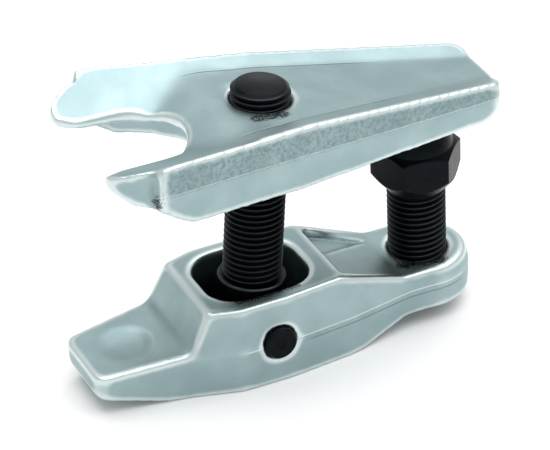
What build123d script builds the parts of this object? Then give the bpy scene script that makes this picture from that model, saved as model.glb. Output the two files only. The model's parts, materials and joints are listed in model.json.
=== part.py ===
from build123d import *
import os
from math import cos, radians, sin, sqrt

os.makedirs("parts", exist_ok=True)

# Ball joint separator. Millimetres, +Z up, +X towards the pressure screw, the jaws
# open towards -X. The origin is on the bench, under the middle of the tool's length.

# ---------------------------------------------------------------- driving sizes
pivot_x = -9.262          # pivot pin axis, from the middle of the tool's length
pivot_z = 11.0            # pivot pin axis above the bench
thread_r = 7.0            # M14 x 1.5, spindle and pressure screw
thread_fit = 0.05         # radial running clearance of a screw in its threaded hole
screw_x = 44.1            # pressure screw axis behind the pivot axis
lean = 5.1                # degrees the spindle leans towards the pressure screw

pin_r = 4.0
pin_len = 34.8
pin_fit = 0.05            # radial clearance of the spindle eye on the pin

mouth_r = 11.5            # fork opening, 23 wide
mouth_centre = -30.5      # centre of its closed end, along the fork arm
tip = -44.3               # fork tips
shoulder = -35.8          # the tines narrow to tongues here
tail = 57.3               # tail of the fork arm
flat_h = 56.3             # flat round the spindle, above the pivot axis
seam_h = 50.8             # forging seam of the fork arm
under_h = 41.7            # underside at the spindle
tail_under_h = 45.3       # underside at the tail

toe = -43.4               # tip of the lower jaw
body_top = 10.6           # above the pivot axis
boss_top = 3.9
boss_r = 12.3
boss_under = -6.8
pocket_l = 25.8
pocket_w = 21.2

spindle_top = 59.5
collar_r = 8.3
collar_top = 9.9
barrel_r = 7.6            # foot of the spindle, round about the pin

hex_af = 19.0
hex_foot = 21.4           # above the pivot axis
hex_top = 32.8
screw_tip = -8.8
nose_r = 9.0              # ball end of the pressure screw
nose_gap = 0.05           # between that ball end and the fork arm at rest

pivot = Location((pivot_x, 0, pivot_z))
leaning = pivot * Rotation(0, lean, 0)
# Every piece is drawn about the pivot axis, and put in place by one of these two.


def side_slab(points, width):
    """Outline in the X-Z plane, made as wide as given, half to each side of Y = 0."""
    face = make_face(Plane.XZ * Polyline(*points, close=True))
    return extrude(face, width / 2, both=True)


def plan_face(points, z=0):
    """Closed plan outline from the points of its +Y half, given from front to rear."""
    near_half = [(x, -y) for x, y in points]
    return Location((0, 0, z)) * make_face(Polyline(*near_half, *reversed(points), close=True))


def corner(solid, x, z):
    """The straight edge of a side slab that runs across at the corner x, z."""
    return solid.edges().filter_by(Axis.Y).sort_by_distance((x, 0, z))[0]


def disc(radius, z_low, z_high, x=0.0):
    """Upright cylinder between two heights."""
    return Location((x, 0, z_low)) * Cylinder(radius, z_high - z_low, align=(Align.CENTER, Align.CENTER, Align.MIN))


def cone(r_low, r_high, z_low, z_high, x=0.0):
    """Upright cone between two heights."""
    solid = Cone(r_low, r_high, z_high - z_low, align=(Align.CENTER, Align.CENTER, Align.MIN))
    return Location((x, 0, z_low)) * solid


def cross_bar(radius, width):
    """Cylinder about the pivot axis."""
    return Cylinder(radius, width, rotation=(90, 0, 0))


# ---------------------------------------------------------------- lower arm
# A forging with draft above and below its seam, which lies at the pivot height.
plan = plan_face([
    (toe, 10.0), (-22, 13.0), (-9, 16.9), (3, 16.9), (20, 15.2), (36, 12.1), (screw_x, 12.1),
])
plan = fillet(plan.vertices().filter_by(lambda v: v.X < -40), 3.5)
plan = fillet(plan.vertices().filter_by(lambda v: -23 < v.X < 4), 12)
plan = plan + Location((screw_x, 0, 0)) * Circle(boss_r)
blank = extrude(plan, 13, taper=12) + extrude(plan, -13, taper=3)

side_corners = [
    (toe, -0.5), (-20.8, 1.2), (-16, body_top), (17.5, body_top), (35.5, boss_top), (60, boss_top),
    (60, boss_under), (35, boss_under), (22, -pivot_z), (-26, -pivot_z), (toe, -6.4),
]
side_rounds = [
    (-20.8, 1.2, 3), (35.5, boss_top, 6), (-16, body_top, 1.2), (22, -pivot_z, 12),
    (-26, -pivot_z, 12), (toe, -6.4, 2.0), (toe, -0.5, 1.2),
]
side = side_slab(side_corners, 60)
for x, z, radius in side_rounds:
    side = fillet(corner(side, x, z), radius)
lower_arm = blank & side

shoulders = lower_arm.edges().filter_by(
    lambda e: 3 < e.center().Z and -15 < e.center().X and abs(e.center().Y) > 8 and abs((e % 0.5).Z) < 0.75)
lower_arm = fillet(shoulders, 0.9)

# pocket for the foot of the spindle, open underneath
pocket = Location((0.4, 0, 12)) * RectangleRounded(pocket_l, pocket_w, 7.5)
lower_arm -= extrude(pocket, -25, taper=1.5)

# hollow between the two side ribs, and a three-cornered recess in its floor
lower_arm -= side_slab([(18.7, 14), (18.7, 8.8), (35.5, boss_top - 0.2), (35.5, 14)], 20.8)
recess = Location((0, 0, -2)) * make_face(Polyline((18.9, 11.0), (18.9, 0.6), (34.2, 6.9), close=True))
recess = extrude(recess, 16, dir=(0, 0, 1))
lower_arm -= recess & side_slab([(15, 14), (15, 9.0), (40, 1.45), (40, 14)], 40)

# shallow round dish in the toe, where the ball joint's stud rests
dish_r = 7.0
dish_depth = 0.9
ball_r = (dish_r ** 2 + dish_depth ** 2) / (2 * dish_depth)
ball = Location((-33, 0, 0.3 + ball_r - dish_depth)) * Sphere(ball_r)
lower_arm -= ball & disc(dish_r, -3, 3, -33)

lower_arm -= cross_bar(pin_r, 60)
lower_arm -= disc(thread_r + thread_fit, -30, 30, screw_x)
export_step(pivot * lower_arm, "parts/lower_arm.step")

# ---------------------------------------------------------------- fork arm
# Sections across the arm: half width and height of the flat, the rib, the seam, the foot.
sections = [
    (-50, (22.0, flat_h), (27.6, flat_h + 1.5), (28.5, seam_h), (27.6, 38)),
    (4, (13.2, flat_h), (18.9, flat_h + 1.6), (19.8, seam_h), (19.0, 38)),
    (tail, (5.2, flat_h - 3.2), (10.8, flat_h - 1.7), (11.6, seam_h - 0.9), (10.7, 38)),
]
rings = []
for u, *half in sections:
    near_side = [(u, -y, h) for y, h in half]
    far_side = [(u, y, h) for y, h in reversed(half)]
    rings.append(make_face(Polyline(*near_side, *far_side, close=True)))
fork = loft(rings, ruled=True)
tail_corners = fork.edges().filter_by(lambda e: e.center().X > tail - 0.1 and abs(e.center().Y) > 9)
fork = fillet(tail_corners, 3.5)

profile = side_slab([
    (tip - 3, 60), (tip - 3, 51.4), (tip, 50.0), (-40, 47.0), (-34.5, 46.0), (-27, under_h), (2, under_h),
    (tail, tail_under_h), (tail, 60),
], 80)
for x, z, radius in [(-34.5, 46.0, 4), (-27, under_h, 5), (tail, tail_under_h, 6)]:
    profile = fillet(corner(profile, x, z), radius)
fork = fork & profile

outline = plan_face([(tip, 17.9), (-40.5, 20.8), (shoulder, 22.9), (shoulder, 32), (tail + 1, 32)], 30)
outline = fillet(outline.vertices().filter_by(lambda v: v.X < tip + 0.1), 3.0)
outline = fillet(outline.vertices().filter_by(lambda v: -36 < v.X < -35 and abs(v.Y) < 25), 1.5)
fork = fork & extrude(outline, 40)

# the tines dish down towards the opening: a ramp from the flat, and a slope down from the
# top edge of each rib
ramp = side_slab([(-60, flat_h - 21.6), (-12, flat_h), (-8, flat_h + 1.8), (-8, 80), (-60, 80)], 80)
slope = 0.464
valleys = []
for u, low in ((-60, flat_h - 12.05), (-4, flat_h - 7.87)):
    high = low + 34 * slope
    points = [(u, 0, low), (u, 34, high), (u, 34, 80), (u, -34, 80), (u, -34, high)]
    valleys.append(make_face(Polyline(*points, close=True)))
fork -= ramp & loft(valleys, ruled=True)

mouth = Location((mouth_centre, 0, 30)) * Circle(mouth_r)
mouth = mouth + plan_face([(-48, 17.0), (-44.5, 14.2), (-40, mouth_r + 0.2), (mouth_centre, mouth_r)], 30)
fork -= extrude(mouth, 40)

# hollow under the dish
hollow = Location((mouth_centre, 0, 30)) * Circle(mouth_r + 8)
hollow = hollow + plan_face([(-48, mouth_r + 4), (-36, mouth_r + 5), (mouth_centre, mouth_r + 8)], 30)
fork -= extrude(hollow, 40) & side_slab([
    (-50, 30), (-50, 49.4), (-24, 49.0), (-18, 50.8), (-10, 52.8), (-10, 30)], 80)

fork -= disc(thread_r + thread_fit, 0, 90)
fork -= cone(thread_r, thread_r + 0.9, flat_h - 0.9, flat_h)
export_step(leaning * fork, "parts/fork_arm.step")

# ---------------------------------------------------------------- spindle
spindle = disc(thread_r, 0, spindle_top)
spindle = chamfer(spindle.edges().sort_by(Axis.Z)[-1], 0.9, 1.2)
collar = disc(collar_r, 0, collar_top)
spindle = spindle + chamfer(collar.edges().sort_by(Axis.Z)[-1], 0.5)
barrel = cross_bar(barrel_r, pocket_w - 1.2)
spindle = spindle + chamfer(barrel.edges().filter_by(GeomType.CIRCLE), 0.5)
spindle -= cross_bar(pin_r + pin_fit, 60)
spindle -= cone(0.1, 1.2, spindle_top - 0.9, spindle_top)
export_step(leaning * spindle, "parts/spindle.step")

# ---------------------------------------------------------------- pivot pin
pin = cross_bar(pin_r, pin_len)
pin = chamfer(pin.edges().filter_by(GeomType.CIRCLE), 0.4)
for side_y, turn in ((-1, 90), (1, -90)):
    dimple = Cone(0.8, 1.8, 0.8, rotation=(turn, 0, 0))
    pin -= Location((0, side_y * pin_len / 2, 0)) * dimple
export_step(pivot * pin, "parts/pivot_pin.step")

# ---------------------------------------------------------------- pressure screw
# The ball end stands a running gap under the fork arm's sloping underside.
fall = (tail_under_h - under_h) / (tail - 2)
tilt = radians(lean)


def under_gap(z):
    """Distance from a point on the screw axis up to the underside of the fork arm."""
    u = screw_x * cos(tilt) - z * sin(tilt)
    h = screw_x * sin(tilt) + z * cos(tilt)
    return (under_h + fall * (u - 2) - h) / sqrt(1 + fall ** 2)


reach = under_gap(0) - under_gap(1)
nose_z = (under_gap(0) - nose_r - nose_gap) / reach

screw = disc(thread_r, screw_tip, hex_foot + 4, screw_x)
screw = chamfer(screw.edges().sort_by(Axis.Z)[0], 1.6, 2.0)
corner_r = hex_af / 2 / cos(radians(30))
hexagon = Location((screw_x, 0, hex_foot)) * RegularPolygon(corner_r, 6, rotation=-12.4)
head = extrude(hexagon, hex_top - hex_foot)
turned = cone(thread_r + 0.3, corner_r, hex_foot, hex_foot + 4.4, screw_x)
turned = turned + disc(corner_r, hex_foot + 4.4, hex_top - 1.2, screw_x)
turned = turned + cone(corner_r, corner_r - 2.1, hex_top - 1.2, hex_top, screw_x)
nose = Location((screw_x, 0, nose_z)) * Sphere(nose_r)
nose = nose & disc(nose_r + 1, hex_top - 2, hex_top + 20, screw_x)
screw = screw + (head & turned) + nose
export_step(pivot * screw, "parts/pressure_screw.step")
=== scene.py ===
# %% [markdown]
# # A ball joint separator
#
# This tool splits a car's ball joint. Two forged arms face each other. The upper one is
# a fork that slips round the joint's stud, and the lower one has a dished toe. They hang
# together on a threaded spindle that tilts about a pivot pin. At the far end a pressure
# screw lifts the tail of the fork, and the jaws close like a nutcracker.
#
# The solid model already has every size, so this file adds only the looks: forged and
# zinc plated arms with soft edges and grain, real screw threads, and a plain bright table.

import json
import math

import bpy
import numpy as np
from mathutils import Matrix, Vector


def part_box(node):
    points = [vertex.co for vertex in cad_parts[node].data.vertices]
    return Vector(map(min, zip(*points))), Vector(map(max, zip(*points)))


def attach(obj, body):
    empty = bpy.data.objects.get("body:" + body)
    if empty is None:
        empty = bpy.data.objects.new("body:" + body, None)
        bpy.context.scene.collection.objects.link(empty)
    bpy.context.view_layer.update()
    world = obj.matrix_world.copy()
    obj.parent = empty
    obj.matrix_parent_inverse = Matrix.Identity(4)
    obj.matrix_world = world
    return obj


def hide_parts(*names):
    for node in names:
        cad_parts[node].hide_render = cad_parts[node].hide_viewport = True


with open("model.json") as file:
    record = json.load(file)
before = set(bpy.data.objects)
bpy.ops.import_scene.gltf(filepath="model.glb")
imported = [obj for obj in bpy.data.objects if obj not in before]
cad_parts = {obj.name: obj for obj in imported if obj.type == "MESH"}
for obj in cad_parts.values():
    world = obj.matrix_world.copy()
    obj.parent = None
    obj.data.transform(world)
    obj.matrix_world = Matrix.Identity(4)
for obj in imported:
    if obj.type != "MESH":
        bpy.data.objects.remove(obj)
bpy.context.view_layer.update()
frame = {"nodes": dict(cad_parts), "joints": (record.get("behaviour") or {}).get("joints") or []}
joints = {joint["name"]: joint for joint in frame["joints"]}

# %% [markdown]
# ## Where the spindle and the screw stand
#
# The spindle leans a little, so everything on it is easiest to draw upright about the
# pivot pin and then to tilt by that lean. Both axes are read from the model's own joints
# and from the boxes of its pieces, never guessed.

# %% The two screw axes
MM = 0.001
pivot = np.array(joints["spindle_tilt"]["pos_m"])
up_spindle = np.array(joints["fork_height"]["axis"])
up_spindle = up_spindle / np.linalg.norm(up_spindle)
along_fork = np.array([up_spindle[2], 0.0, -up_spindle[0]])
across = np.array([0.0, 1.0, 0.0])
screw_low, screw_high = (np.array(corner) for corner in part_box("pressure_screw"))
screw_foot = np.array([(screw_low[0] + screw_high[0]) / 2, 0.0, pivot[2]])
print("spindle leans", round(math.degrees(math.asin(up_spindle[0])), 2), "degrees")


def place(points, origin, x_dir, z_dir):
    """Points drawn in mm about an upright axis, put on a leaning axis in metres."""
    turn = np.stack([x_dir, across, z_dir])
    return np.asarray(points, dtype=float) * MM @ turn + origin


# %% [markdown]
# ## Surfaces from two numbers
#
# Most machine parts are surfaces that two numbers describe: how far round, and how far
# along. A whole grid of such points is worked out at once with numpy and handed to the
# mesh in one call. That is quicker than adding vertices one by one, and the formula stays
# visible in one place.

# %% A closed tube from a grid of points
def tube_mesh(name, points, marks=None):
    """Skin of a tube. points[i, j] is ring i, step j round it. Each end is closed by a fan
    to the middle of its ring. marks are extra numbers per point, kept as attributes."""
    rings, steps, _ = points.shape
    middles = points[[0, -1]].mean(axis=1)
    cloud = np.concatenate([points.reshape(-1, 3), middles])
    i, j = np.meshgrid(np.arange(rings - 1), np.arange(steps), indexing="ij")
    k = (j + 1) % steps
    quads = np.stack([i * steps + j, i * steps + k, (i + 1) * steps + k, (i + 1) * steps + j], axis=-1)
    step = np.arange(steps)
    after = (step + 1) % steps
    last = (rings - 1) * steps
    low_fan = np.stack([np.full(steps, rings * steps), after, step], axis=-1)
    high_fan = np.stack([np.full(steps, rings * steps + 1), last + step, last + after], axis=-1)
    faces = quads.reshape(-1, 4).tolist() + low_fan.tolist() + high_fan.tolist()
    mesh = bpy.data.meshes.new(name)
    mesh.from_pydata(cloud.tolist(), [], faces)
    for label, values in (marks or {}).items():
        layer = mesh.attributes.new(label, "FLOAT", "POINT")
        ends = [values[0].mean(), values[-1].mean()]
        layer.data.foreach_set("value", np.concatenate([values.ravel(), ends]).astype(np.float32))
    mesh.shade_smooth()
    piece = bpy.data.objects.new(name, mesh)
    bpy.context.collection.objects.link(piece)
    print(name, "has", len(mesh.vertices), "points")
    return piece


# %% [markdown]
# ## Screw threads
#
# An M14 x 1.5 thread is a groove 0.92 mm deep that climbs 1.5 mm in each turn. A bump map
# would only fake it, and its outline would stay straight. Here the radius itself is a
# function of the angle and the height, so the outline is toothed as on the real screw.

# %% The thread's radius
PITCH = 1.5
MAJOR = 7.0
DEPTH = 0.92
ROWS_IN_PITCH = 14
STEPS_ROUND = 112


def thread_radius(angle, height):
    """Trapezoid wave along the helix: a crest an eighth of the pitch wide, a root a
    quarter wide, and flanks about 54 degrees apart. Height over pitch less turns gives the
    place in the wave."""
    place_in_wave = np.mod(height / PITCH - angle / (2 * np.pi), 1.0)
    from_crest = np.abs(place_in_wave - 0.5) * 2
    return MAJOR - DEPTH * np.clip((from_crest - 0.125) / 0.625, 0.0, 1.0)


def threaded_rod(name, low, high, low_chamfer, high_chamfer, runout, origin, x_dir, z_dir):
    """Thread from low to high in mm. Each end is turned down by a chamfer (radial, axial),
    and the groove fades out over the runout length below the upper end."""
    rows = np.arange(low, high + 1e-6, PITCH / ROWS_IN_PITCH)
    rows = np.unique(np.concatenate([rows, [high]]))
    angle = np.linspace(0, 2 * np.pi, STEPS_ROUND, endpoint=False)
    height, turn = np.meshgrid(rows, angle, indexing="ij")
    groove = MAJOR - thread_radius(turn, height)
    if runout > 0:
        groove = groove * np.clip((high - height) / runout, 0, 1)
    radius = MAJOR - groove
    low_cone = MAJOR - low_chamfer[0] * (1 - (height - low) / low_chamfer[1])
    high_cone = MAJOR - high_chamfer[0] * (1 - (high - height) / high_chamfer[1])
    radius = np.minimum(radius, np.minimum(low_cone, high_cone))
    points = np.stack([radius * np.cos(turn), radius * np.sin(turn), height], axis=-1)
    crest = np.clip(1 - groove / (0.3 * DEPTH), 0, 1)
    return tube_mesh(name, place(points, origin, x_dir, z_dir), {"crest": crest})


# heights in mm above the pivot pin, and chamfers as (radial, axial)
SPINDLE_ENDS = (9.0, 59.5)
SCREW_ENDS = (-8.8, 21.8)
NO_CHAMFER = (0.01, 1.0)
upright = (np.array([1.0, 0.0, 0.0]), np.array([0.0, 0.0, 1.0]))
spindle_thread = threaded_rod(
    "spindle_thread", *SPINDLE_ENDS, NO_CHAMFER, (1.25, 0.9), 0.0, pivot, along_fork, up_spindle)
screw_thread = threaded_rod(
    "screw_thread", *SCREW_ENDS, (2.0, 1.6), NO_CHAMFER, 2.0, screw_foot, *upright)

# %% [markdown]
# ## The foot of the spindle
#
# Below its thread the spindle has a round collar, and below that a barrel that turns on
# the pivot pin. Both are profiles spun round an axis: upright for the collar, crosswise
# for the barrel.

# %% Collar and barrel
SPUN_STEPS = 96


def spun(name, profile, origin, x_dir, z_dir, crosswise=False, marks=None):
    """Profile of (radius, height) pairs in mm, spun round its axis."""
    profile = np.asarray(profile, dtype=float)
    angle = np.linspace(0, 2 * np.pi, SPUN_STEPS, endpoint=False)
    radius = profile[:, 0:1] * np.ones_like(angle)
    height = profile[:, 1:2] * np.ones_like(angle)
    points = np.stack([radius * np.cos(angle), radius * np.sin(angle), height], axis=-1)
    if crosswise:
        points = np.stack([points[..., 1], points[..., 2], points[..., 0]], axis=-1)
    return tube_mesh(name, place(points, origin, x_dir, z_dir), marks)


def rounded(corners, radius, steps=5):
    """Profile with each inner corner cut by a small arc, drawn as a quadratic curve from a
    point before the corner to one after it."""
    corners = np.asarray(corners, dtype=float)
    share = np.linspace(0, 1, steps)[:, None]
    path = [corners[:1]]
    for before, at, after in zip(corners[:-2], corners[1:-1], corners[2:]):
        start = at + (before - at) / np.linalg.norm(before - at) * radius
        end = at + (after - at) / np.linalg.norm(after - at) * radius
        path.append((1 - share) ** 2 * start + 2 * share * (1 - share) * at + share ** 2 * end)
    return np.concatenate(path + [corners[-1:]])


collar_outline = rounded([(7.9, 2.0), (8.25, 2.6), (8.25, 9.4), (7.8, 9.85), (6.2, 9.85)], 0.25)
COLLAR_EDGE = [8.0, 9.65]
from_edge = ((collar_outline - COLLAR_EDGE) ** 2).sum(axis=1)
# A painted highlight along the collar's top rim, kept in the crest number.
rim_highlight = np.exp(-from_edge / 0.15)[:, None] * np.ones(SPUN_STEPS) * 2.0
collar = spun("spindle_collar", collar_outline, pivot, along_fork, up_spindle, marks={"crest": rim_highlight})
barrel_outline = rounded(
    [(4.1, -9.95), (7.0, -9.95), (7.55, -9.4), (7.55, 9.4), (7.0, 9.95), (4.1, 9.95)], 0.3)
barrel = spun("spindle_barrel", barrel_outline, pivot, along_fork, up_spindle, crosswise=True)

# %% [markdown]
# ## The head of the pressure screw
#
# A hexagon head starts as a round bar. Its six flats are milled, and what is left of the
# bar shows as the cone underneath and the chamfer on top. So at every height and angle the
# radius is the smaller of two: the hexagon's, and the turned outline's. The top carries a
# ball end that pushes on the fork.

# %% Hexagon head with its ball end
nose_top = (screw_high[2] - screw_foot[2]) / MM
HEX_FOOT, HEX_TOP, ACROSS_FLATS = 21.4, 32.8, 19.0
HEX_TURN = -12.4
NOSE_R = 9.0
nose_centre = nose_top - NOSE_R
corner_r = ACROSS_FLATS / 2 / math.cos(math.radians(30))

cone = np.linspace(0, 1, 14)[:, None]
foot_cone = np.array([7.3, HEX_FOOT]) * (1 - cone) + np.array([corner_r, HEX_FOOT + 4.4]) * cone
top_cone = np.array([corner_r, HEX_TOP - 1.2]) * (1 - cone) + np.array([corner_r - 2.1, HEX_TOP]) * cone
start = math.asin((HEX_TOP - nose_centre) / NOSE_R)
rise = np.linspace(start + 0.02, math.pi / 2 - 0.02, 24)
ball = np.stack([NOSE_R * np.cos(rise), nose_centre + NOSE_R * np.sin(rise)], axis=-1)
outline = np.concatenate([[[6.5, HEX_FOOT - 0.05]], foot_cone, [[corner_r, HEX_FOOT + 7]], top_cone, ball])


def hexagon_radius(angle):
    """Distance from the axis to the hexagon's side: half the width across flats, over the
    cosine of the angle from the middle of the nearest flat."""
    from_flat = np.mod(angle - math.radians(HEX_TURN), math.pi / 3) - math.pi / 6
    return ACROSS_FLATS / 2 / np.cos(from_flat)


angle = np.radians(HEX_TURN) + np.linspace(0, 2 * np.pi, 240, endpoint=False)
turned = outline[:, 0:1] * np.ones_like(angle)
radius = np.minimum(turned, hexagon_radius(angle))
level = outline[:, 1:2] * np.ones_like(angle)
points = np.stack([radius * np.cos(angle), radius * np.sin(angle), level], axis=-1)
screw_head = tube_mesh("screw_head", place(points, screw_foot, *upright))
screw_head.data.set_sharp_from_angle(angle=math.radians(25))

# %% [markdown]
# ## Forged arms
#
# A forging has no sharp edge anywhere, because hot steel can't fill a sharp corner. The
# solid model's arms have crisp edges. A copy of each is turned into an even net of small
# squares, and then every point moves a little towards the middle of its neighbours, again
# and again. Flat faces stay where they are, and edges melt into soft rounds.

# %% Even net and melted edges
def neighbour_mean(values, edges, counts):
    """Mean of each point's neighbours, from a list of edges."""
    total = np.zeros_like(values)
    for axis in range(values.shape[1]):
        total[:, axis] += np.bincount(edges[:, 0], values[edges[:, 1], axis], len(values))
        total[:, axis] += np.bincount(edges[:, 1], values[edges[:, 0], axis], len(values))
    return total / counts[:, None]


def soften(points, edges, counts, passes, share=0.5):
    """Each pass moves every point part of the way to the mean of its neighbours. The share
    may differ from point to point, and where it is 0 the surface stays as it was."""
    for _ in range(passes):
        points = points + (neighbour_mean(points, edges, counts) - points) * share
    return points


def soft_copy(node, name, net_mm, passes):
    """Copy of a CAD node as an even net, with its edges melted by some passes."""
    source = frame["nodes"][node]
    mesh = source.data.copy()
    piece = bpy.data.objects.new(name, mesh)
    bpy.context.collection.objects.link(piece)
    merge = piece.modifiers.new("merge", "WELD")
    merge.merge_threshold = 1e-6
    net = piece.modifiers.new("net", "REMESH")
    net.mode = "VOXEL"
    net.voxel_size = net_mm * MM
    ready = bpy.data.meshes.new_from_object(piece.evaluated_get(bpy.context.evaluated_depsgraph_get()))
    piece.modifiers.clear()
    piece.data = ready
    points = np.empty(len(ready.vertices) * 3)
    ready.vertices.foreach_get("co", points)
    points = points.reshape(-1, 3)
    edges = np.empty(len(ready.edges) * 2, dtype=np.int64)
    ready.edges.foreach_get("vertices", edges)
    edges = edges.reshape(-1, 2)
    counts = np.bincount(edges.ravel(), minlength=len(points)).astype(float)
    print(name, "has", len(points), "points")
    return piece, soften(points, edges, counts, passes), edges, counts


def point_normals(mesh):
    """Normal at every point, as one array."""
    values = np.empty(len(mesh.vertices) * 3)
    mesh.vertices.foreach_get("normal", values)
    return values.reshape(-1, 3)


def ease(values, low, high):
    """Smooth step from 0 at low to 1 at high."""
    share = np.clip((values - low) / (high - low), 0, 1)
    return share * share * (3 - 2 * share)


def keep_points(piece, points):
    """Puts moved points back into the piece's mesh, and gives its normals."""
    piece.data.vertices.foreach_set("co", points.ravel())
    piece.data.update()
    piece.data.shade_smooth()
    return point_normals(piece.data)


NET_MM = 0.42
FORK_PASSES, LOWER_PASSES = 12, 11
fork, fork_points, fork_edges, fork_counts = soft_copy("fork_arm", "fork_forging", NET_MM, FORK_PASSES)
lower, lower_points, lower_edges, lower_counts = soft_copy(
    "lower_arm", "lower_forging", NET_MM, LOWER_PASSES)
fork_normals = keep_points(fork, fork_points)
lower_normals = keep_points(lower, lower_points)

# %% [markdown]
# ## The dish of the fork
#
# Towards its mouth the fork dips like the bowl of a spoon. The solid model makes that
# bowl from three flat slopes. The real one has no folds, so the top of the fork in front
# of the spindle gets many more passes, but its rims and the mouth's edge don't. The
# shoulders, where the tines narrow, are rounded more than other edges too.

# %% Melt the folds of the dish
MOUTH_U, MOUTH_R = -30.5, 11.5
SHOULDER_U, SHOULDER_V = -36.0, 25.5
BOWL_PASSES, SHOULDER_PASSES = 160, 30


def fork_places(points):
    """Points in mm about the pivot pin: along the fork, across it, and up the spindle."""
    own = (points - pivot) / MM
    return np.stack([own @ along_fork, own[:, 1], own @ up_spindle], axis=-1)


def rim_half_width(along):
    """Half the width between the rims' top edges: 18.9 mm near the spindle, less towards the tail."""
    return 18.9 - 0.161 * (along - 4)


fork_u, fork_v, fork_h = fork_places(fork_points).T
from_mouth = np.hypot(np.minimum(MOUTH_U - fork_u, 0), fork_v) - MOUTH_R
bowl = ease(fork_normals @ up_spindle, 0.7, 0.85) * ease(-fork_u, 2.0, 8.0) * ease(fork_h, 47.0, 49.0)
bowl = bowl * ease(rim_half_width(fork_u) - np.abs(fork_v), 1.2, 3.0) * ease(from_mouth, 1.0, 3.0)
fork_points = soften(fork_points, fork_edges, fork_counts, BOWL_PASSES, 0.5 * bowl[:, None])
from_shoulder = np.hypot(fork_u - SHOULDER_U, np.abs(fork_v) - SHOULDER_V)
shoulder = ease(4.5 - from_shoulder, 0.0, 2.0)
fork_points = soften(fork_points, fork_edges, fork_counts, SHOULDER_PASSES, 0.5 * shoulder[:, None])
fork_normals = keep_points(fork, fork_points)

# %% [markdown]
# ## Where the arms are rough, highlit, shaded and sooty
#
# The plating is not the same all over. Proud edges get a painted highlight, inner corners get
# painted shade, and one band of the fork's side keeps the coarse skin of the forge. Each of these
# is a number at every point of the net: how far the surface bulges there, and whether the
# point is on the side of the arm above its seam. A last number says where oily dirt sits, and
# where a painted shadow lies beside the screw.

# %% Marks on the arms
def bulge(points, edges, counts, normals, spread):
    """How far each point stands proud of its surroundings, in mm. The step from the mean of
    the neighbours is taken along the normal, then averaged over a wider patch."""
    proud = ((points - neighbour_mean(points, edges, counts)) * normals).sum(axis=1, keepdims=True) / MM
    for _ in range(spread):
        proud = proud * 0.4 + neighbour_mean(proud, edges, counts) * 0.6
    return proud[:, 0]


def mark(piece, label, values):
    """Keeps one number per point as an attribute."""
    layer = piece.data.attributes.new(label, "FLOAT", "POINT")
    layer.data.foreach_set("value", values.astype(np.float32))
    print(piece.name, label, "from", round(float(values.min()), 2), "to", round(float(values.max()), 2))


def soot_and_shadow(points, start, end, reach_mm):
    """1 on the line from start to end, in mm about the pivot, and 0 at some reach from it."""
    start, end = np.array(start, dtype=float), np.array(end, dtype=float)
    span = end - start
    share = np.clip(((points - start) @ span) / max(span @ span, 1e-9), 0, 1)
    away = np.linalg.norm(points - start - share[:, None] * span, axis=1)
    return 1 - ease(away, 0.2 * reach_mm, reach_mm)


SEAM_H, FLAT_H = 50.8, 56.3
fork_own = fork_places(fork_points)
fork_u, fork_v, fork_h = fork_own.T
side_facing = ease(np.abs(fork_normals @ across), 0.6, 0.9)
outer = ease(np.abs(fork_v) - rim_half_width(fork_u) - 0.5, -3.4, -2.6)
mark(fork, "rough", side_facing * outer * ease(fork_h, SEAM_H - 0.4, SEAM_H + 0.2))
fork_bulge = bulge(fork_points, fork_edges, fork_counts, fork_normals, 9)
print("bulge at 1, 10, 90 and 99 in a hundred:", np.percentile(fork_bulge, [1, 10, 90, 99]).round(4))
# The edge number later gives a painted highlight, and the corner number painted shade.
mark(fork, "edge", ease(fork_bulge, 0.003, 0.013))
mark(fork, "corner", ease(-fork_bulge, 0.003, 0.013))
mark(fork, "soot_and_shadow", np.maximum(soot_and_shadow(fork_own, (-5, -9.2, FLAT_H), (1, -9.4, FLAT_H), 3.6),
                              soot_and_shadow(fork_own, (-34.5, -24.0, 50.5), (-35.5, -24.0, 48.5), 3.0)))

lower_own = (lower_points - pivot) / MM
lower_bulge = bulge(lower_points, lower_edges, lower_counts, lower_normals, 9)
mark(lower, "rough", np.zeros(len(lower_points)))
mark(lower, "edge", ease(lower_bulge, 0.003, 0.013))
mark(lower, "corner", ease(-lower_bulge, 0.003, 0.013))
boss_x = (screw_foot[0] - pivot[0]) / MM
# The first line is soot at the pocket's rim; the second is a painted shadow on the boss at the foot of the
# pressure screw.
mark(lower, "soot_and_shadow", np.maximum(soot_and_shadow(lower_own, (-8, -11.2, 10.6), (7, -11.2, 10.6), 2.2),
                               soot_and_shadow(lower_own, (boss_x - 7, -6.5, 3.9), (boss_x + 2, -8.5, 3.9), 3.4)))

# %% [markdown]
# ## Writing finishes as formulas
#
# Node trees get long. Two small classes keep them readable: a term stands for one output
# and understands plus, minus and times, and a finish adds any node with its settings and
# its sockets in one call.

# %% Terms and finishes
class Term:
    """One output of a node, which can be used in a formula."""

    def __init__(self, finish, socket):
        self.finish = finish
        self.socket = socket

    def maths(self, operation, left, right):
        return self.finish.node("ShaderNodeMath", {"operation": operation}, {0: left, 1: right})

    def __add__(self, other):
        return self.maths("ADD", self, other)

    def __radd__(self, other):
        return self.maths("ADD", other, self)

    def __sub__(self, other):
        return self.maths("SUBTRACT", self, other)

    def __rsub__(self, other):
        return self.maths("SUBTRACT", other, self)

    def __mul__(self, other):
        return self.maths("MULTIPLY", self, other)

    def __rmul__(self, other):
        return self.maths("MULTIPLY", other, self)


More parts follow.
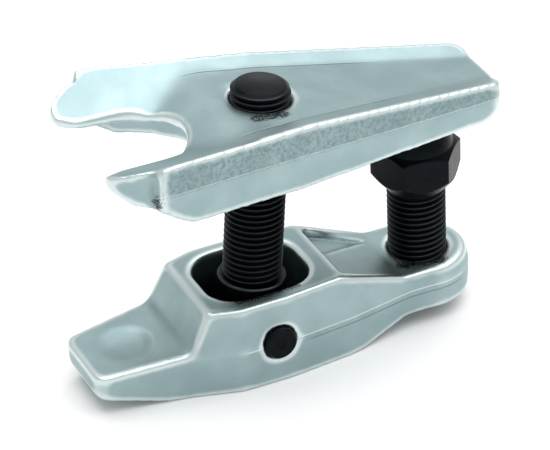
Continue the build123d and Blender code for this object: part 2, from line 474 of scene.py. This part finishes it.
class Finish:
    """A material built from terms around one Principled shader."""

    def __init__(self, name, **constants):
        self.material = bpy.data.materials.new(name)
        self.material.use_nodes = True
        self.tree = self.material.node_tree
        self.shader = self.tree.nodes["Principled BSDF"]
        for label, value in constants.items():
            self.shader.inputs[label.replace("_", " ")].default_value = value

    def node(self, kind, settings=None, sockets=None, output=0):
        """Any node: its settings first, then the values or links of its sockets."""
        made = self.tree.nodes.new(kind)
        for label, value in (settings or {}).items():
            setattr(made, label, value)
        for label, value in (sockets or {}).items():
            if isinstance(value, Term):
                self.tree.links.new(value.socket, made.inputs[label])
            else:
                made.inputs[label].default_value = value
        return Term(self, made.outputs[output])

    def place(self):
        return self.node("ShaderNodeTexCoord", output="Object")

    def noise(self, where, scale, detail=4.0, roughness=0.55):
        """Cloudy pattern, scale in blobs per metre."""
        return self.node("ShaderNodeTexNoise", None,
                         {"Vector": where, "Scale": scale, "Detail": detail, "Roughness": roughness})

    def attribute(self, name):
        return self.node("ShaderNodeAttribute", {"attribute_name": name}, output="Fac")

    def between(self, value, low, high):
        """Share of the way from low to high, kept inside 0 and 1, with eased ends."""
        return self.node("ShaderNodeMapRange", {"interpolation_type": "SMOOTHSTEP"},
                         {"Value": value, "From Min": low, "From Max": high})

    def mix(self, share, one, other):
        """Colour between two colours."""
        return self.node("ShaderNodeMix", {"data_type": "RGBA"}, {0: share, 6: one, 7: other}, output=2)

    def feed(self, label, term):
        self.tree.links.new(term.socket, self.shader.inputs[label])

    def bump(self, height, depth_mm):
        """Raises the surface by height times a depth in mm."""
        raised = self.node("ShaderNodeBump", None, {"Height": height, "Distance": depth_mm * MM})
        self.feed("Normal", raised)

    def give(self, *pieces):
        for piece in pieces:
            piece.data.materials.clear()
            piece.data.materials.append(self.material)


# %% [markdown]
# ## Zinc plate on a forging
#
# Zinc plate is a pale bluish metal, and the forged skin under it makes it satin. Fine
# grain sits all over, coarse grain on the rough band, and slow clouds change its shade.
# Proud edges get a painted highlight and are smoother. Inner corners get painted shade,
# and dark specks mark soot in a few spots and a painted shadow by the screw.

# %% The zinc finish
PLATE_LOW, PLATE_HIGH = (0.285, 0.385, 0.40, 1), (0.345, 0.45, 0.46, 1)
# The bright colour is a painted highlight, the dull one painted shade, and the black one soot with a painted
# shadow.
PLATE_GRAIN, PLATE_HIGHLIGHT = (0.19, 0.27, 0.28, 1), (0.72, 0.80, 0.80, 1)
PLATE_SHADE, PLATE_SOOT_AND_SHADOW = (0.08, 0.125, 0.14, 1), (0.012, 0.016, 0.02, 1)


class Zinc(Finish):
    """Zinc plate, with places in mm about the pivot pin: along the arm, across and up."""

    def __init__(self, name, along, up):
        super().__init__(name, Metallic=1.0)
        place_at = self.node("ShaderNodeMapping", {"vector_type": "POINT"},
                             {"Vector": self.place(), "Location": tuple(-pivot)})
        self.where = place_at
        self.along = self.dot(place_at, along / MM)
        self.side = self.size_of(self.dot(place_at, across / MM))
        self.up = self.dot(place_at, up / MM)

    def dot(self, where, direction):
        return self.node("ShaderNodeVectorMath", {"operation": "DOT_PRODUCT"},
                         {0: where, 1: tuple(direction)}, output="Value")

    def size_of(self, value):
        return self.node("ShaderNodeMath", {"operation": "ABSOLUTE"}, {0: value})

    def stripe(self, distance, half_width):
        """1 where a distance is 0, falling to 0 at the half width on both sides."""
        return 1 - self.between(self.size_of(distance), 0.3 * half_width, half_width)

    def plate(self, shade_line, highlight_line):
        """Colour, gloss and grain. The shade line is a mask for painted shade along folds and under the
        seam, the highlight line one for a painted highlight along the seam.
        """
        rough, edge = self.attribute("rough"), self.attribute("edge")
        corner, soot_and_shadow_mask = self.attribute("corner"), self.attribute("soot_and_shadow")
        clouds = self.noise(self.where, 90.0, 5.0)
        grain = self.noise(self.where, 2600.0, 3.0, 0.6)
        coarse = self.noise(self.where, 1150.0, 4.0, 0.65)
        specks = self.between(self.noise(self.where, 1900.0, 3.0, 0.7) + 0.32 * soot_and_shadow_mask, 0.68, 0.80)
        colour = self.mix(self.between(clouds, 0.3, 0.7), PLATE_LOW, PLATE_HIGH)
        colour = self.mix(rough * self.between(coarse, 0.35, 0.75), colour, PLATE_GRAIN)
        # Painted highlight on proud edges and along the seam line.
        colour = self.mix(edge * 0.75 + highlight_line * 0.6, colour, PLATE_HIGHLIGHT)
        # Painted shade in inner corners and along the shade line.
        colour = self.mix(corner * 0.55 + shade_line * 0.55, colour, PLATE_SHADE)
        # Dark specks: soot, and a painted shadow beside the screw.
        colour = self.mix(specks * soot_and_shadow_mask * 0.9, colour, PLATE_SOOT_AND_SHADOW)
        self.feed("Base Color", colour)
        self.feed("Roughness", 0.38 + 0.12 * rough + 0.10 * grain - 0.08 * edge)
        skin = 0.22 * grain + 0.10 * coarse + rough * coarse * 2.2
        self.bump(skin + highlight_line * 0.8 - shade_line * 0.8, 0.12)


fork_zinc = Zinc("fork_zinc", along_fork, up_spindle)
FOLD_HALF_WIDTH, FOLD_TAPER = 13.75, 0.157
# Painted shade along the fold at the top of the fork's dish.
fold = fork_zinc.side - (FOLD_HALF_WIDTH - FOLD_TAPER * fork_zinc.along)
fork_top = fork_zinc.between(fork_zinc.up, 54.5, 55.0) * fork_zinc.between(fork_zinc.along, -14.0, -8.0)
# Painted highlight along the seam of the fork's rough band.
fork_seam_highlight = fork_zinc.stripe(fork_zinc.up - SEAM_H, 0.28) * fork_zinc.attribute("rough")
fork_zinc.plate(fork_zinc.stripe(fold, 0.30) * fork_top, fork_seam_highlight)
fork_zinc.give(fork)

lower_zinc = Zinc("lower_zinc", np.array([1.0, 0, 0]), np.array([0, 0, 1.0]))
on_side = lower_zinc.between(lower_zinc.side, 10.0, 10.5) * lower_zinc.between(lower_zinc.along, -10.0, -7.0)
# Painted highlight along the lower arm's seam.
seam = lower_zinc.stripe(lower_zinc.up + 0.1, 0.34) * on_side
behind_pin = lower_zinc.between(lower_zinc.along, 4.0, 10.0)
# Painted shade along a line 1.6 mm below the lower arm's seam, behind the pin.
below = lower_zinc.stripe(lower_zinc.up + 1.6, 0.30) * on_side * behind_pin
lower_zinc.plate(0.7 * below, seam)
lower_zinc.give(lower)

# %% [markdown]
# ## Black oxide on the screws
#
# Screws are blackened in hot salts and oiled. The crests of the thread and the collar's top
# rim are painted lighter as fine lines: partly wear through the thin film, partly a painted highlight.

# %% The black finish
black = Finish("black_oxide", Metallic=1.0)
where = black.place()
crest = black.attribute("crest")
film = black.noise(where, 700.0, 4.0)
dark = black.mix(film, (0.005, 0.0065, 0.008, 1), (0.011, 0.0135, 0.016, 1))
# Lighter crests and collar rim: partly wear, partly a painted highlight.
black.feed("Base Color", black.mix(crest * 0.6, dark, (0.042, 0.047, 0.054, 1)))
black.feed("Roughness", 0.34 + 0.14 * film - 0.06 * crest)
black.bump(black.noise(where, 2200.0, 3.0), 0.02)
black.give(spindle_thread, screw_thread, collar, barrel, screw_head)
pin = frame["nodes"]["pivot_pin"]
pin.data.materials[0] = black.material

# %% [markdown]
# ## Which piece moves with which body
#
# The looks follow the solid model's bodies, so the tool can be posed. Each new piece hides
# the plain solid that it stands for.

# %% Ride and replace
zinc_pieces = {fork: ("fork", "fork_arm"), lower: ("base", "lower_arm")}
black_pieces = {
    spindle_thread: ("column", "spindle"), collar: ("column", "spindle"), barrel: ("column", "spindle"),
    screw_thread: ("screw", "pressure_screw"), screw_head: ("screw", "pressure_screw"),
}
for pieces, slot in ((zinc_pieces, "zinc_forging"), (black_pieces, "black_oxide")):
    for piece, (body, node) in pieces.items():
        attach(piece, body)
        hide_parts(node)
        print(piece.name, "rides on", body)

# %% [markdown]
# ## Table, light and camera
#
# Catalogue pictures are taken on white under large soft lamps. One broad lamp almost
# straight above lights the upward faces. The white table and a plain white room fill the
# sides and give the metal something bright to mirror.

# %% The table
table = bpy.data.objects.new("table", bpy.data.meshes.new("table"))
bpy.context.collection.objects.link(table)
reach = 3.0
table.data.from_pydata([(-reach, -reach, 0), (reach, -reach, 0), (reach, reach, 0), (-reach, reach, 0)], [],
                       [(0, 1, 2, 3)])
paper = Finish("paper", Roughness=0.9)
fibres = paper.noise(paper.place(), 30.0)
paper.feed("Base Color", paper.mix(fibres, (0.90, 0.90, 0.90, 1), (0.92, 0.92, 0.92, 1)))
paper.give(table)

# %% The room and its lamp
world = bpy.data.worlds.new("room")
bpy.context.scene.world = world
world.use_nodes = True
world.node_tree.nodes["Background"].inputs["Color"].default_value = (1.0, 1.0, 1.0, 1)
world.node_tree.nodes["Background"].inputs["Strength"].default_value = 0.75


def lamp(name, place_at, aim_at, size, power):
    """Square soft lamp that points from one place at another."""
    data = bpy.data.lights.new(name, "AREA")
    data.shape = "SQUARE"
    data.size = size
    data.energy = power
    made = bpy.data.objects.new(name, data)
    bpy.context.collection.objects.link(made)
    made.location = place_at
    direction = Vector(aim_at) - Vector(place_at)
    made.rotation_euler = direction.to_track_quat("-Z", "Y").to_euler()


middle = (0.0, 0.0, 0.035)
lamp("overhead", (0.12, 0.0, 0.75), middle, 1.1, 7.2)

# %% The camera
EYE = np.array([-266.8, -610.2, 448.3]) * MM + pivot
FORWARD = Vector((0.34524, 0.76861, -0.53856))
RIGHT = Vector((0.90178, -0.43065, -0.03652))
SENSOR_MM, LENS_MM = 36.0, 224.09673
camera_data = bpy.data.cameras.new("camera")
camera_data.sensor_width = SENSOR_MM
camera_data.lens = LENS_MM
camera_data.clip_start = 0.01
camera = bpy.data.objects.new("camera", camera_data)
bpy.context.collection.objects.link(camera)
up = RIGHT.cross(FORWARD)
turn = Matrix((RIGHT, up, -FORWARD)).transposed().to_4x4()
camera.matrix_world = Matrix.Translation(Vector(EYE)) @ turn
bpy.context.scene.camera = camera
bpy.context.scene.view_settings.view_transform = "Standard"
